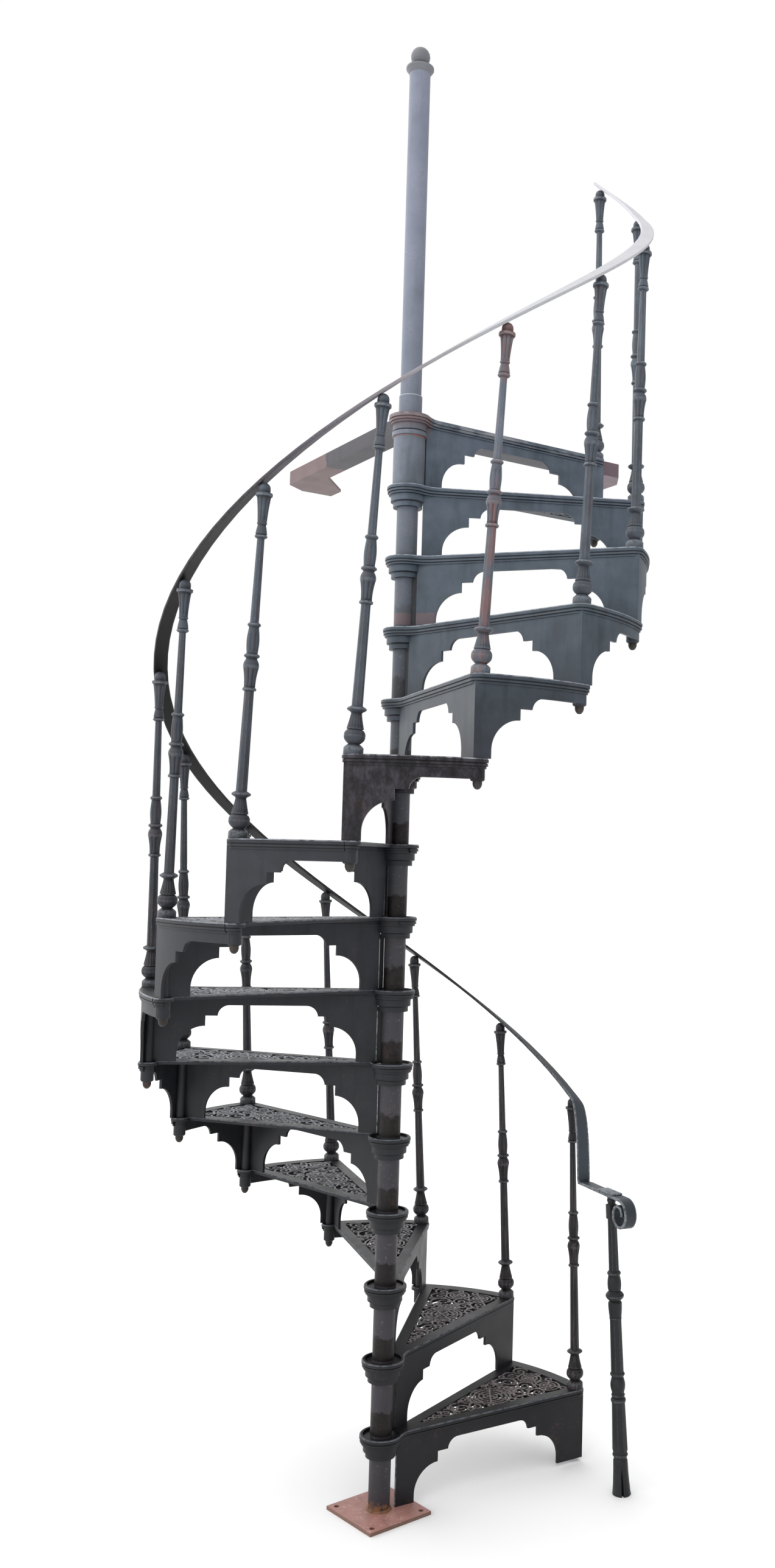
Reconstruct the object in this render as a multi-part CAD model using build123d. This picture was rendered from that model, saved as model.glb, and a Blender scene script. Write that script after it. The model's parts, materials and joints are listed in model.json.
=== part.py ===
from build123d import *
import math
import os

# A cast-iron spiral staircase, four feet six inches across, with fourteen treads
# to the full turn. It climbs counter-clockwise seen from above.
# Millimetres, +Z up. The origin is on the column's axis at the underside of the
# base plate, and +X runs along the first riser.

# Stair layout
rise = 203.2
treads = 14
step_angle = 360 / 14
baluster_circle = 664.0
edge_margin = 26.0
tread_radius = baluster_circle + edge_margin

# Column
base_side = 205.0
base_thickness = 10.0
base_turn = 8.0
base_bolt_circle = 117.0
base_bolt_radius = 7.0
tube_radius = 30.15
tube_wall = 3.9
seat_clearance = 0.3

# Tread casting
web = 10.0
edge_chamfer = 3.0
nosing_steps = ((12.5, 4.0), (19.0, 1.5), (25.0, 5.0))
nosing_depth = nosing_steps[-1][0]
nosing_band = 17.0
sweep_radius = 70.0
rim_radius = 59.5
rim_wall = 9.0
cup_depth = 6.0
collar_radius = 48.5
collar_depth = 44.0
neck_radius = 41.5
neck_depth = 60.0
back_lap = 10.0
plate_thickness = 8.0
riser_lead = 18.0
riser_slot = 12.0
string_inset = 8.0
string_radius = tread_radius - string_inset
corner_post_radius = 13.0
boss_radius = 17.5
boss_depth = 54.0
boss_chamfer = 3.0

# Stepped arch that is cut out of every riser and string plate
arch_inner = 100.0
arch_outer = 590.0
arch_quarter = 75.0
arch_tread = 33.0
arch_cove = 32.0
arch_soffit = 50.0
arch_ledge = 79.0
arch_spring = 107.0
string_leg = 27.0

# Pierced panel of a tread: its distances from the riser lines, the outer edge and the column
panel_front = 8.0
panel_back = 45.0
panel_outer = 38.0
panel_start = 132.0
panel_recess = 2.5
sliver_area = 40.0

# Scrollwork, drawn in the tread's own plan for a panel that ends 652 mm from the column
scroll_bar = 6.4
boss_disc = 8.0
rosettes = (
    (602, 58, (37, 18), 4, 45), (588, 134, (36, 17), 4, 0), (407, 74, (60, 40, 20), 6, 0),
)
curls = (
    (550, 181, 25, 40, 1), (597, 196, 23, -20, 1), (546, 34, 23, 160, -1), (546, 92, 25, -60, 1),
    (505, 140, 36, 250, -1), (501, 60, 29, 150, 1), (456, 140, 20, 200, 1), (478, 103, 18, 20, 1),
    (337, 35, 23, -20, 1), (330, 81, 20, -60, -1), (285, 50, 30, 60, 1), (234, 35, 22, 90, -1),
    (196, 26, 13, 90, 1),
)
curl_turns = ((1.0, 235), (0.62, 170), (0.36, 190))
links = (
    (634, 97, 9), (633, 19, 9), (629, 147, 7), (606, 229, 9), (520, 186, 8), (516, 22, 8), (475, 22, 11),
    (448, 22, 11), (430, 150, 6), (380, 134, 7), (373, 17, 8), (310, 84, 7), (306, 22, 9), (259, 18, 7),
    (259, 60, 8), (214, 48, 5), (172, 20, 8), (151, 15, 5),
)
crescents = ((407, 74, 71, -30, 62), (407, 74, 71, 152, 58), (407, 74, 50, -40, 80), (407, 74, 50, 140, 80))

# Balusters
lean = 3.2
last_lean = 0.6
dome_radius = 14.4
dome_height = 862.0
baluster_shafts = ((114, 357, 13.8, 11.6), (521, 738, 10.9, 8.9))

# Handrail
rail_width = 38.0
rail_thickness = 8.0
rail_spans = 3
drop_spans = 7
kink_angle = -8.4
kink_radius = 617.0
kink_height = 847.0
drop_pull = 40.0
kink_pull = 81.0
kink_rise = (0.07, 0.12, 1.0)
kink_ease = 25.0
rail_overrun = 0.12
drop_start = -0.06
volute_radius = 38.0
volute_eye = 12.0
volute_lead = 66.0
volute_turns = 1.25
volute_tighten = 0.8
volute_spans = 14
splice_start = -48.0
splice_end = 30.0
splice_thickness = 5.0

# Newel post
newel_foot_angle = -21.6
newel_foot_radius = 696.0
newel_top_angle = -22.7
newel_top_radius = 643.5
newel_height = 845.0
newel_shafts = ((128, 260, 22.8, 19.6), (348, 499, 18.9, 17.2), (636, 784, 15.2, 13.4))
newel_block = 26.0
newel_block_span = (782.0, 824.0)

# Acorn nuts
nut_radius = 11.5
nut_height = 20.0

# Top of the column
sleeve_radius = 45.0
sleeve_ring_radius = 50.0
sleeve_ring_height = 12.0
pole_sleeve_radius = 33.0
pole_sleeve_height = 60.0
pole_top = 20.0 * rise
cap_radius = 40.0
cap_height = 22.0
ball_radius = 28.0

# Landing irons
iron_thickness = 8.0
iron_height = 44.0
iron_drop = 34.0
iron_width = 66.0
iron_length = 775.0
iron_offset = 18.0
gusset_start = 621.0
gusset_neck = 746.0
gusset_slant = 74.0
gusset_end = gusset_neck + gusset_slant
gusset_reach = 173.0


def top_of(level):
    return base_thickness + level * rise


def polar(radius, angle, height=0.0):
    turn = math.radians(angle)
    return (radius * math.cos(turn), radius * math.sin(turn), height)


def slab(sketch, low, high):
    return extrude(Pos(0, 0, low) * sketch, high - low)


def half_plane(offset, keep_above):
    # A wide strip on one side of a line parallel to X.
    reach = 2 * tread_radius
    shift = offset + reach / 2 if keep_above else offset - reach / 2
    return Pos(0, shift) * Rectangle(2 * reach, reach)


def hub_sweep(inset):
    # The hollow curve by which the nosing runs out of the tread and round the hub.
    drop = -edge_margin - sweep_radius
    along = math.sqrt((rim_radius + sweep_radius) ** 2 - drop ** 2)
    touch = (rim_radius - inset) / (rim_radius + sweep_radius)
    corner = Polygon((0, 0), (along * touch, drop * touch), (along, inset - edge_margin), align=None)
    return corner - Pos(along, drop) * Circle(sweep_radius + inset)


def tread_outline(inset, back_inset):
    # The wedge between two risers, round about the hub and the baluster at each outer corner.
    wedge = Circle(tread_radius - inset) & half_plane(inset - edge_margin, True)
    wedge = wedge & (Rot(0, 0, step_angle) * half_plane(-back_lap - back_inset, False))
    wedge = wedge & Pos(tread_radius, 0) * Rectangle(2 * tread_radius, 4 * tread_radius)
    wedge -= Pos(baluster_circle + edge_margin / 2, -edge_margin / 2) * Rectangle(edge_margin, edge_margin)
    corner = Circle(edge_margin - inset)
    wedge += Pos(baluster_circle, 0) * corner
    wedge += Rot(0, 0, step_angle) * Pos(baluster_circle, 0) * corner
    return wedge + Circle(rim_radius - inset) + hub_sweep(inset)


def hub():
    # The boss under the rim: it steps in twice and sits in the cup of the hub below.
    bore = tube_radius + seat_clearance
    cup = rim_radius - rim_wall
    rim = rim_radius - nosing_band / 2
    with BuildPart() as made:
        with BuildSketch(Plane.XZ):
            with BuildLine():
                Polyline(
                    (bore, -cup_depth), (cup, -cup_depth), (cup, -edge_chamfer), (rim, -edge_chamfer),
                    (rim, -nosing_depth), (collar_radius, -nosing_depth - 2), (collar_radius, -collar_depth),
                    (neck_radius, -collar_depth - 3), (neck_radius, -neck_depth), (bore, -neck_depth),
                    (bore, -cup_depth),
                )
            make_face()
        revolve(axis=Axis.Z)
    return made.part


def half_arch(leg):
    # Outline of one half of the stepped arch, from the leg up to the soffit.
    step = leg + arch_quarter
    ledge = step + arch_tread
    crown = ledge + arch_cove
    foot = -rise - 1
    spring = -arch_spring - arch_quarter
    small = -arch_ledge
    line = Polyline((leg, foot), (leg, spring))
    line += RadiusArc((leg, spring), (step, -arch_spring), arch_quarter)
    line += Polyline((step, -arch_spring), (step, small), (ledge, small))
    line += RadiusArc((ledge, small), (crown, -arch_soffit), arch_cove)
    return line, crown


def arch_opening(left_leg, right_leg):
    # The whole arch between two legs, as a face in the riser's own plane.
    left, crown = half_arch(left_leg)
    middle = (left_leg + right_leg) / 2
    right = mirror(left, Plane(origin=(middle, 0, 0), x_dir=(0, 1, 0), z_dir=(1, 0, 0)))
    far = 2 * middle - crown
    foot = -rise - 1
    edges = left.edges() + right.edges()
    edges += [Edge.make_line((crown, -arch_soffit), (far, -arch_soffit))]
    edges += [Edge.make_line((left_leg, foot), (right_leg, foot))]
    return make_face(edges)


def riser(inner):
    outer = string_radius
    panel = Pos((inner + outer) / 2, -(rise + web) / 2) * Rectangle(outer - inner, rise - web)
    panel -= arch_opening(arch_inner, arch_outer)
    front = Plane(origin=(0, plate_thickness - riser_lead, 0), x_dir=(1, 0, 0), z_dir=(0, -1, 0))
    return extrude(front * panel, plate_thickness)


def string_plate():
    # The curved plate under the outer edge, with one leg and half an arch.
    inner = string_radius - plate_thickness
    wall = Circle(string_radius) - Circle(inner)
    wall = wall & half_plane(-riser_lead, True)
    wall = wall & (Rot(0, 0, step_angle) * half_plane(0, False))
    wall = wall & (Pos(string_radius, string_radius / 2) * Rectangle(string_radius, 2 * string_radius))
    solid = slab(wall, -rise, -web)
    arch, crown = half_arch(string_leg)
    foot = -rise - 1
    reach = string_radius
    edges = arch.edges()
    edges += [Edge.make_line((crown, -arch_soffit), (reach, -arch_soffit))]
    edges += [Edge.make_line((reach, -arch_soffit), (reach, foot))]
    edges += [Edge.make_line((reach, foot), (string_leg, foot))]
    face = Plane(origin=(tread_radius, 0, 0), x_dir=(0, 1, 0), z_dir=(1, 0, 0)) * make_face(edges)
    return solid - extrude(face, -tread_radius)


def corner_post():
    post = Pos(baluster_circle, 0) * Circle(corner_post_radius)
    return slab(post, -rise, -web / 2)


def ring(x, y, radius):
    half = scroll_bar / 2
    return Pos(x, y) * (Circle(radius + half) - Circle(radius - half))


def arc_bar(arcs):
    # One bar of even width along arcs that follow on from each other: centre, radius, start and sweep.
    edges = []
    for centre, radius, start, sweep in arcs:
        low = min(start, start + sweep)
        edges.append(Edge.make_circle(radius, Plane(centre), low, low + abs(sweep)))
    return Sketch() + Face(Wire(edges).offset_2d(scroll_bar / 2))


def curl(x, y, radius, start, hand):
    # A scroll that tightens in three arcs, each one touching the last where it begins.
    arcs = []
    centre, last = Vector(x, y, 0), radius
    for share, sweep in curl_turns:
        centre += Vector(*polar((last - radius * share), start))
        last = radius * share
        arcs.append((centre, last, start, hand * sweep))
        start += hand * sweep
    return arc_bar(arcs)


def rosette(x, y, radii, spokes, turn):
    bars = [ring(x, y, radius) for radius in radii] + [Pos(x, y) * Circle(boss_disc)]
    length = radii[0] - boss_disc + scroll_bar / 2
    for spoke in range(spokes):
        place = Pos(x, y) * Rot(0, 0, turn + 360 * spoke / spokes) * Pos(radii[0] - length / 2, 0)
        bars.append(place * Rectangle(length, scroll_bar))
    return bars


def scrollwork():
    bars = [curl(*shape) for shape in curls] + [ring(*shape) for shape in links]
    bars += [arc_bar([(Vector(x, y, 0), radius, start, sweep)]) for x, y, radius, start, sweep in crescents]
    for shape in rosettes:
        bars += rosette(*shape)
    return bars


def panel_field():
    # The part of a tread that is pierced: a smaller wedge within its borders.
    reach = tread_radius
    field = Circle(reach - panel_outer) & half_plane(panel_front, True)
    field = field & (Rot(0, 0, step_angle) * half_plane(-panel_back, False))
    return field & Pos(panel_start + reach, 0) * Rectangle(2 * reach, 4 * reach)


def piercing():
    # Everything between the bars, less the slivers that no pattern maker would cut.
    field = panel_field()
    holes = [hole for hole in (field - scrollwork()).faces() if hole.area > sliver_area]
    return [slab(Sketch() + hole, -2 * web, 1) for hole in holes] + [slab(field, -panel_recess, 1)]


def nosing():
    # The beads run along the front and round the outside, and not along the back.
    beads = []
    above = web / 2
    open_back = -2 * edge_margin
    for depth, inset in nosing_steps:
        band = tread_outline(inset, 0) - tread_outline(nosing_band, open_back)
        beads.append(slab(band, -depth, -above))
        above = depth
    return beads


def corner_boss():
    boss = slab(Circle(boss_radius), -boss_depth, -web / 2)
    boss = chamfer(boss.edges().group_by(Axis.Z)[0], boss_chamfer)
    return Rot(0, 0, step_angle) * Pos(baluster_circle, 0) * boss


def tread():
    plate = slab(tread_outline(0, 0), -web, 0)
    plate = chamfer(plate.edges().group_by(Axis.Z)[-1], edge_chamfer)
    pieces = [plate, string_plate(), corner_post(), corner_boss(), riser(tube_radius + riser_slot)]
    casting = Part() + pieces + nosing()
    casting += hub()
    casting -= slab(Circle(rim_radius - rim_wall), -cup_depth, 1)
    casting -= slab(Circle(tube_radius + seat_clearance), -rise - 1, 1)
    return casting - piercing()


def landing_riser():
    # The last riser, which carried the floor: a nosing strip with no pierced tread.
    lead = edge_margin
    strip = Pos(baluster_circle / 2, 0) * Rectangle(baluster_circle, 2 * lead)
    strip += Pos(baluster_circle, 0) * Circle(lead)
    plate = slab(strip + Circle(rim_radius) + hub_sweep(0), -web, 0)
    beads = []
    above = web / 2
    for depth, inset in nosing_steps:
        front = Pos(baluster_circle / 2, inset - lead + nosing_band / 2) * Rectangle(baluster_circle, nosing_band)
        front += Pos(baluster_circle, 0) * Circle(lead - inset)
        beads.append(slab(front + Circle(rim_radius - inset) + hub_sweep(inset), -depth, -above))
        above = depth
    casting = Part() + [plate, corner_post(), riser(sleeve_radius + seat_clearance)] + beads
    casting += hub()
    casting -= slab(Circle(rim_radius - rim_wall), -cup_depth, 1)
    casting -= slab(Circle(sleeve_radius + seat_clearance), -rise - 1, -collar_depth)
    ring_low = -collar_depth - sleeve_ring_height - 3 - 2 * seat_clearance
    casting -= slab(Circle(sleeve_ring_radius + seat_clearance), ring_low, -collar_depth)
    return casting - slab(Circle(tube_radius + seat_clearance), -rise - 1, 1)


def baluster_profile():
    # Radius and height from the foot: base, ball, cone, knob, vase, capital and dome.
    dome = [(dome_radius, dome_height - dome_radius), (0.8 * dome_radius, dome_height - 0.4 * dome_radius)]
    dome += [(0.4 * dome_radius, dome_height - 0.08 * dome_radius), (0, dome_height)]
    return [
        (0, 0), (23.7, 0), (23.7, 17), (20.5, 21), (18.5, 25), (23.5, 30), (26, 40), (24.5, 52),
        (20, 58), (23.8, 60), (16.9, 80), (13.5, 100), (21, 104), (22.5, 108), (21, 112), (13, 116),
        (10.6, 356), (17, 360), (14, 371), (15.5, 390), (18.9, 415), (17.5, 424), (13.2, 434), (18, 437),
        (19.4, 441), (18, 445), (13.2, 448), (15.8, 463), (14.8, 485), (12.5, 508), (16.3, 517), (10, 523),
        (8, 736), (12.4, 741), (10, 746), (10, 764), (12.2, 770), (10.7, 777), (13, 810), (16.9, 831),
        (20.6, 833), (20.6, 841), (dome_radius, 841),
    ] + dome


def faceted_shaft(low, high, low_radius, high_radius):
    # One of the eight-sided shafts between the turned parts of a post.
    ends = [Pos(0, 0, low) * RegularPolygon(low_radius, 8), Pos(0, 0, high) * RegularPolygon(high_radius, 8)]
    return loft(ends)


def turned(profile, below=0.0):
    points = [(r, z) for r, z in profile]
    if below:
        points[0] = (0, -below)
        points[1] = (points[1][0], -below)
    with BuildPart() as made:
        with BuildSketch(Plane.XZ):
            with BuildLine():
                Polyline(*points, close=True)
            make_face()
        revolve(axis=Axis.Z)
    return made.part


def baluster(tilt):
    # Turned, leaned towards the climb about its foot, then cut level on the tread.
    post = turned(baluster_profile(), 4)
    post += [faceted_shaft(*shaft) for shaft in baluster_shafts]
    post = Rot(-tilt, 0, 0) * post
    below = 2 * boss_radius
    return post - Pos(0, 0, -below / 2) * Box(2 * below, 2 * below, below)


def dome_centre(number):
    # Angle round the column and height of the middle of one baluster's dome.
    tilt = math.radians(lean if number <= treads else last_lean)
    reach = dome_height - dome_radius
    along = math.degrees(math.atan2(reach * math.sin(tilt), baluster_circle))
    return (number - 1) * step_angle + along, top_of(number) + reach * math.cos(tilt)


def climb(number, share):
    # Station on the rail's underside, a share of the way from one dome to the next.
    angle, height = dome_centre(number)
    next_angle, next_height = dome_centre(number + 1)
    slope = (next_height - height) / math.radians(next_angle - angle)
    lift = (dome_radius + seat_clearance) * math.hypot(1, slope / baluster_circle)
    turn = math.radians(angle + share * (next_angle - angle))
    forward = Vector(-baluster_circle * math.sin(turn), baluster_circle * math.cos(turn), slope)
    centre = polar(baluster_circle, math.degrees(turn), height + lift + share * (next_height - height))
    return Vector(*centre), forward.normalized()


def newel_top():
    return Vector(*polar(newel_top_radius, newel_top_angle, newel_height + seat_clearance))


def level_run():
    kink = Vector(*polar(kink_radius, kink_angle, kink_height))
    return kink, (newel_top() - kink).normalized()


def drop_curve():
    # From the first baluster down to the kink, steepening as it goes.
    start, forward = climb(1, drop_start)
    kink, _ = level_run()
    pulls = [start, start - forward * drop_pull, kink + Vector(*kink_rise).normalized() * kink_pull, kink]
    stations = []
    for index in range(1, drop_spans):
        t = index / drop_spans
        weights = [(1 - t) ** 3, 3 * t * (1 - t) ** 2, 3 * t * t * (1 - t), t ** 3]
        centre = sum((p * w for p, w in zip(pulls, weights)), Vector(0, 0, 0))
        rates = [-((1 - t) ** 2), (1 - t) ** 2 - 2 * t * (1 - t), 2 * t * (1 - t) - t * t, t * t]
        heading = sum((p * w for p, w in zip(pulls, rates)), Vector(0, 0, 0))
        stations.append((centre, heading.normalized()))
    return stations


def volute_stations():
    # Past the newel the bar curls down and in on itself.
    _, heading = level_run()
    out = Vector(heading.X, heading.Y, 0).normalized()
    up = Vector(0, 0, 1)
    start = newel_top() + out * volute_lead
    hub_point = start - up * volute_radius
    stations = [(newel_top(), out), (start, out)]
    for index in range(1, volute_spans + 1):
        share = index / volute_spans
        radius = volute_eye + (volute_radius - volute_eye) * (1 - share) ** volute_tighten
        turn = 2 * math.pi * volute_turns * share
        centre = hub_point + out * (radius * math.sin(turn)) + up * (radius * math.cos(turn))
        stations.append((centre, out * math.cos(turn) - up * math.sin(turn)))
    return stations


def rail_face(centre, run, side):
    plane = Plane(origin=centre, x_dir=side, z_dir=run)
    return plane * Pos(0, rail_thickness / 2) * Rectangle(rail_width, rail_thickness)


def handrail():
    # Lofted downhill from past the last baluster to the eye of the volute.
    up = Vector(0, 0, 1)
    climbing = [climb(1, drop_start)]
    climbing += [climb(number, index / rail_spans) for number in range(1, treads + 1) for index in range(rail_spans)]
    climbing += [climb(treads, 1), climb(treads, 1 + rail_overrun)]
    stations = [(centre, forward * -1) for centre, forward in reversed(climbing)]
    stations += drop_curve()
    kink, heading = level_run()
    stations.append((kink, (stations[-1][1] + heading).normalized()))
    stations.append((kink + heading * kink_ease, heading))
    sections = [rail_face(centre, run, up.cross(run).normalized()) for centre, run in stations]
    out = Vector(heading.X, heading.Y, 0).normalized()
    sections += [rail_face(centre, run, up.cross(out)) for centre, run in volute_stations()]
    # A short plate laps over the joint where the volute begins.
    lap = Plane(origin=newel_top() + up * rail_thickness, x_dir=out, z_dir=up)
    length = splice_end - splice_start
    plate = lap * Pos((splice_start + splice_end) / 2, 0, 0) * Box(length, rail_width, 2 * splice_thickness)
    return loft(sections, ruled=True) + plate


def newel_profile():
    # Broken foot, block, double ring, vase, fluted shaft, disc, vase, upper shaft and neck.
    return [
        (0, 0), (27, 0), (24, 40), (20.5, 95), (20, 108), (22, 114), (20.5, 120), (21, 130), (18, 258),
        (21.6, 262), (21.6, 273), (17, 276), (18.5, 279), (18.5, 285), (17, 288), (21.8, 298), (20, 318),
        (16.5, 334), (20.5, 338), (21.4, 342), (20.5, 346), (16.5, 350), (15.5, 497), (17.5, 499), (17, 503),
        (19.9, 544), (16, 549), (24, 556), (26.8, 564), (24, 573), (17, 580), (20.3, 590), (19, 606),
        (16.4, 622), (19.7, 628), (16.4, 634), (13.5, 640), (12, 780), (12, 824), (10.5, 829), (13, 836),
        (13, newel_height + 4), (0, newel_height + 4),
    ]


def newel_post():
    # Leaned in towards the column, with its block facing along the rail, and cut level at both ends.
    foot = Vector(*polar(newel_foot_radius, newel_foot_angle))
    top = Vector(*polar(newel_top_radius, newel_top_angle, newel_height))
    _, heading = level_run()
    post = turned(newel_profile(), 4)
    post += [faceted_shaft(*shaft) for shaft in newel_shafts]
    post += slab(Rectangle(newel_block, newel_block), *newel_block_span)
    post = Plane(origin=foot, x_dir=heading, z_dir=(top - foot).normalized()) * post
    wide = 4 * newel_foot_radius
    return post & Pos(0, 0, newel_height / 2) * Box(wide, wide, newel_height)


def base_plate():
    plate = Rectangle(base_side, base_side)
    for corner in range(4):
        plate -= Pos(*polar(base_bolt_circle, 45 + 90 * corner)[:2]) * Circle(base_bolt_radius)
    return Rot(0, 0, base_turn) * slab(plate, 0, base_thickness)


def column_tube():
    ring = Circle(tube_radius) - Circle(tube_radius - tube_wall)
    return slab(ring, base_thickness, pole_top)


def acorn_nut():
    profile = [(0, 0), (nut_radius, 0), (nut_radius, 8), (9.5, 14), (5, nut_height - 1), (0, nut_height)]
    return Rot(180, 0, 0) * turned(profile)


def landing_sleeve():
    low = top_of(treads) - cup_depth
    high = top_of(treads + 1) - collar_depth - seat_clearance - 3
    wall = Circle(sleeve_radius) - Circle(neck_radius + seat_clearance)
    ring = Circle(sleeve_ring_radius) - Circle(neck_radius + seat_clearance)
    return slab(wall, low, high) + slab(ring, high - sleeve_ring_height, high)


def pole_sleeve():
    low = top_of(treads + 1) - cup_depth
    wall = Circle(pole_sleeve_radius) - Circle(tube_radius + seat_clearance)
    return slab(wall, low, low + cup_depth + pole_sleeve_height)


def ball_finial():
    neck = ball_radius * 0.5
    profile = [(0, 0), (tube_radius, 0), (cap_radius, cap_height - 8), (cap_radius, cap_height - 3)]
    profile += [(neck + 4, cap_height), (neck, cap_height + 4)]
    centre = cap_height + 2 + ball_radius
    for degrees in range(-55, 90, 18):
        turn = math.radians(degrees)
        profile.append((ball_radius * math.cos(turn), centre + ball_radius * math.sin(turn)))
    profile.append((0, centre + ball_radius))
    return Pos(0, 0, pole_top) * turned(profile)


def landing_bearer(handed, offset, start):
    # Angle iron along +X with a gusset at its end; handed turns the gusset left or right.
    outer = offset - handed * iron_width
    low = -iron_drop
    web_side = offset - handed * iron_thickness
    length = iron_length - start
    upright = Pos(start + length / 2, (offset + web_side) / 2) * Rectangle(length, iron_thickness)
    with BuildSketch() as made:
        with BuildLine():
            Polyline(
                (start, offset), (iron_length, offset), (gusset_end, outer), (gusset_end, offset - handed * gusset_reach),
                (gusset_neck, offset - handed * gusset_reach), (gusset_start, outer), (start, outer), close=True,
            )
        make_face()
    iron = slab(made.sketch, low, low + iron_thickness) + slab(upright, low, low + iron_height)
    iron -= slab(Circle(rim_radius + seat_clearance), -rise, rise)
    return Pos(0, 0, top_of(treads + 1)) * iron


def save(shape, name):
    export_step(shape, f"parts/{name}.step")


os.makedirs("parts", exist_ok=True)
casting = tread()
for number in range(1, treads + 1):
    place = Pos(0, 0, top_of(number)) * Rot(0, 0, (number - 1) * step_angle)
    save(place * casting, f"tread_{number:02d}")
post = baluster(lean)
for number in range(1, treads + 2):
    shape = post if number <= treads else baluster(last_lean)
    place = Rot(0, 0, (number - 1) * step_angle) * Pos(baluster_circle, 0, top_of(number))
    save(place * shape, f"baluster_{number:02d}")
nut = acorn_nut()
nuts = []
for number in range(1, treads + 1):
    turn = number * step_angle
    nuts.append(Rot(0, 0, turn) * Pos(baluster_circle, 0, top_of(number) - boss_depth) * nut)
save(Compound(nuts), "acorn_nuts")
save(base_plate(), "base_plate")
save(column_tube(), "column_tube")
save(newel_post(), "newel_post")
save(handrail(), "handrail")
save(Pos(0, 0, top_of(treads + 1)) * landing_riser(), "landing_riser")
save(landing_sleeve(), "landing_sleeve")
save(pole_sleeve(), "pole_sleeve")
save(ball_finial(), "ball_finial")
left_edge = iron_width - iron_offset
save(landing_bearer(-1, edge_margin, left_edge + seat_clearance), "landing_bearer_right")
save(Rot(0, 0, 90) * landing_bearer(1, iron_offset, 0), "landing_bearer_left")
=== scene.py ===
# %% [markdown]
# A cast-iron spiral staircase, taken down from a yard and stood up on its own column.
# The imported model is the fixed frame: every tread, baluster and iron is already at its real
# size and place, so this lesson only adds what makes old painted iron look like itself.

# %% The frame
import json
import math

import bmesh
import bpy
from mathutils import Matrix, Vector, noise


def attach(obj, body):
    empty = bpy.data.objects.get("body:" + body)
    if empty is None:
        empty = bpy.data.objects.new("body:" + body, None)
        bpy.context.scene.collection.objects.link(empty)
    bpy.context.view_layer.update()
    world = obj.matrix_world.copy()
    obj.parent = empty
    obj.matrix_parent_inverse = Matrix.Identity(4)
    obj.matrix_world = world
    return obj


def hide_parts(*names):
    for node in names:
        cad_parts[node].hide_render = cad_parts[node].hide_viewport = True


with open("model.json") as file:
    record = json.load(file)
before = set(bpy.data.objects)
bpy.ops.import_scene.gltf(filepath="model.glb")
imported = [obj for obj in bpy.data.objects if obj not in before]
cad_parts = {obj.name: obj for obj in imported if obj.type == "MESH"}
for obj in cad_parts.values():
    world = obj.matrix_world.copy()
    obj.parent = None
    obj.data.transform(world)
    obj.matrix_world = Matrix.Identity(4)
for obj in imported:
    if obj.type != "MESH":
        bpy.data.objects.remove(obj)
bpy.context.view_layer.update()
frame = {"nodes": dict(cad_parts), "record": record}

print("nodes in the frame:", len(frame["nodes"]))

# %% [markdown]
# The frame is in metres, while a maker's drawing is in millimetres. One factor keeps the
# sizes below readable. The stair's own pitch is the driving size of everything that repeats.

# %% Sizes that repeat
MM = 0.001
TREADS = 14
STEP = math.radians(360 / TREADS)
RISE = 203.2 * MM
BASE = 10 * MM
CIRCLE = 664 * MM


def top_of(level):
    return BASE + level * RISE


def spin_about_column(angle, height=0.0):
    return Matrix.Translation((0, 0, height)) @ Matrix.Rotation(angle, 4, "Z")


# %% [markdown]
# The photograph was taken standing, a little under four metres away, with the phone held
# upright and tipped slightly back. The camera is set from its own three axes, because a
# rotation matrix states a small roll more plainly than three angles do. The picture was
# trimmed after it was taken, more on one side, so the middle of the lens isn't the middle of
# the frame. A small shift, in shares of the frame's longer side, says so without turning the
# camera.

# %% Camera
EYE = Vector((-1.9105, -3.4553, 1.8060))
SIGHT = Vector((0.55677, 0.82929, 0.04791))
ACROSS = Vector((0.82932, -0.55822, 0.02471))
LENS = 32.03
SENSOR = 36.0
SHIFT_ACROSS = -0.0844
SHIFT_UP = 0.0051

camera = bpy.data.objects.new("camera", bpy.data.cameras.new("camera"))
bpy.context.scene.collection.objects.link(camera)
bpy.context.scene.camera = camera
upward = ACROSS.cross(SIGHT).normalized()
turn = Matrix((ACROSS, upward, -SIGHT)).transposed()
camera.matrix_world = Matrix.Translation(EYE) @ turn.to_4x4()
camera.data.lens = LENS
camera.data.sensor_width = SENSOR
camera.data.shift_x = SHIFT_ACROSS
camera.data.shift_y = SHIFT_UP
print("camera stands", round(EYE.xy.length, 2), "m from the column")

# %% [markdown]
# A node tree reads better when each node is one line. The helper add makes a node, sets its
# plain properties and then fills its sockets, either with a value or with a link. The others
# are the few sums that every finish below is made of. A pattern's size is in millimetres.


# %% Colour and node helpers
def linear(code):
    parts = [int(code[start:start + 2], 16) / 255 for start in (1, 3, 5)]
    return [p / 12.92 if p <= 0.04045 else ((p + 0.055) / 1.055) ** 2.4 for p in parts] + [1.0]


def add(tree, kind, sockets=None, **settings):
    node = tree.nodes.new(kind)
    for name, value in settings.items():
        setattr(node, name, value)
    for name, value in (sockets or {}).items():
        if isinstance(value, bpy.types.NodeSocket):
            tree.links.new(value, node.inputs[name])
        else:
            node.inputs[name].default_value = value
    return node


def z_of(tree, vector):
    return add(tree, "ShaderNodeSeparateXYZ", {"Vector": vector}).outputs["Z"]


def ramp(tree, source, stops):
    node = add(tree, "ShaderNodeValToRGB", {"Fac": source})
    band = node.color_ramp
    while len(band.elements) < len(stops):
        band.elements.new(1.0)
    for element, (place, colour) in zip(band.elements, stops):
        element.position = place
        element.color = linear(colour) if isinstance(colour, str) else [colour] * 3 + [1.0]
    return node.outputs["Color"]


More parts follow.
